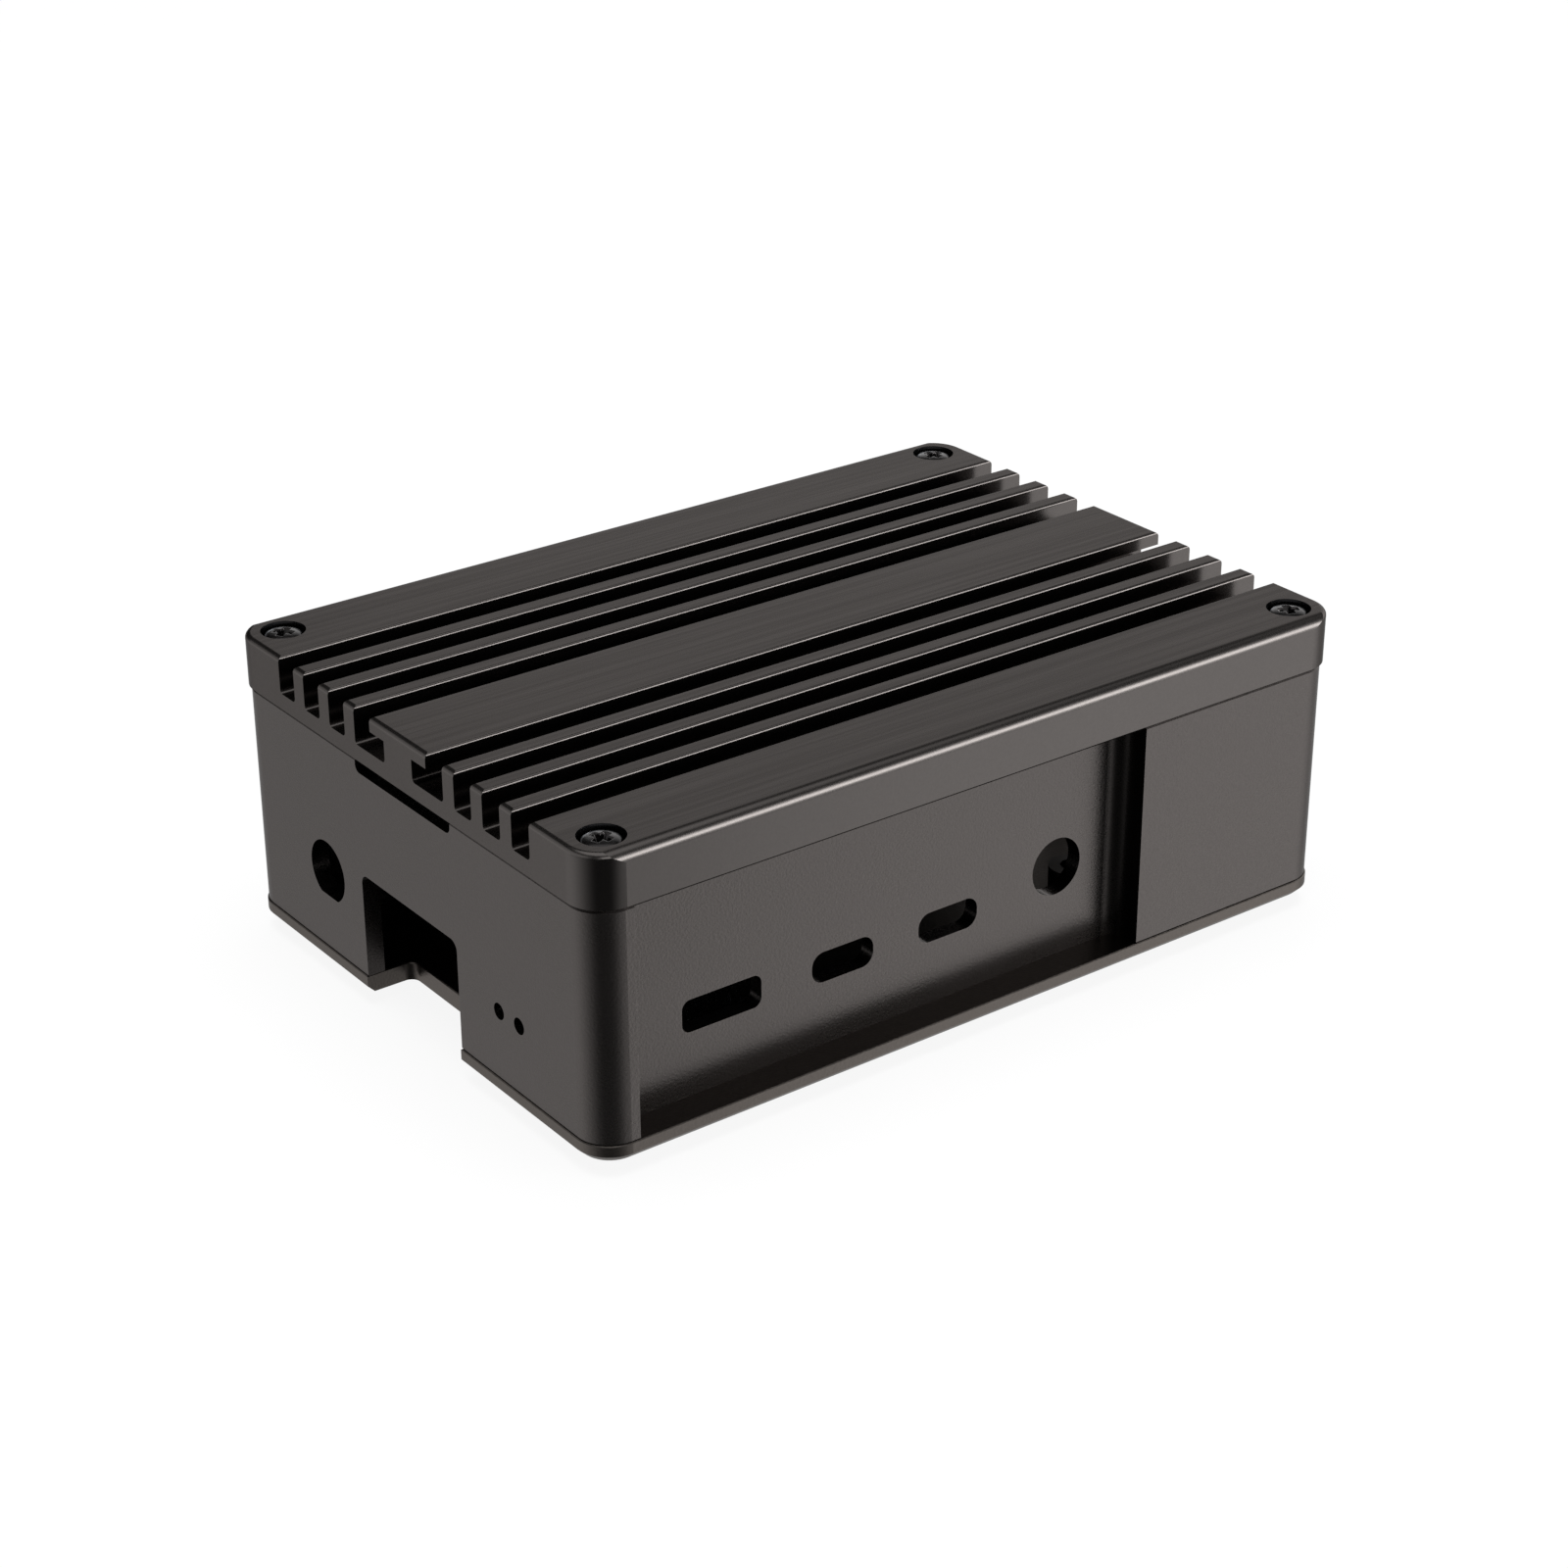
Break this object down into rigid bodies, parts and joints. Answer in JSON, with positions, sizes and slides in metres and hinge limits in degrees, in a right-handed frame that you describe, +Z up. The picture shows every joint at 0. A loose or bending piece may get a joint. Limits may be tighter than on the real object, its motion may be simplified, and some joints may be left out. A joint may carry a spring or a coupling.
{
  "type": "single board computer case",
  "caption": "Black metal case for a credit-card sized computer board, with a finned heat-sink lid, a side recess for the plugs and a base plate.",
  "frame": {"origin": "under the middle of the case, on the surface that the feet stand on", "axes": "+X along the long side from the memory card end to the data port end, -Y out of the recessed port side, +Z up"},
  "size_m": [0.096, 0.0676, 0.0347],
  "materials": {
    "cover_metal": "black anodised, brushed lengthwise",
    "frame_metal": "black anodised, bead blasted",
    "base_metal": "black anodised, bead blasted",
    "cover_screw_steel": "black oxide",
    "base_screw_steel": "black oxide",
    "standoff_metal": "black anodised, turned",
    "foot_rubber": "matt rubber",
    "heat_pad": "soft silicone"
  },
  "bodies": {
    "root": {"base_plate": "base_metal", "base_screws": "base_screw_steel", "body_frame": "frame_metal", "controller_pad": "heat_pad", "cover_screws": "cover_screw_steel", "foot_1": "foot_rubber", "foot_2": "foot_rubber", "foot_3": "foot_rubber", "foot_4": "foot_rubber", "memory_pad": "heat_pad", "processor_pad": "heat_pad", "standoff_1": "standoff_metal", "standoff_2": "standoff_metal", "standoff_3": "standoff_metal", "standoff_4": "standoff_metal", "top_cover": "cover_metal"}
  },
  "joints": []
}
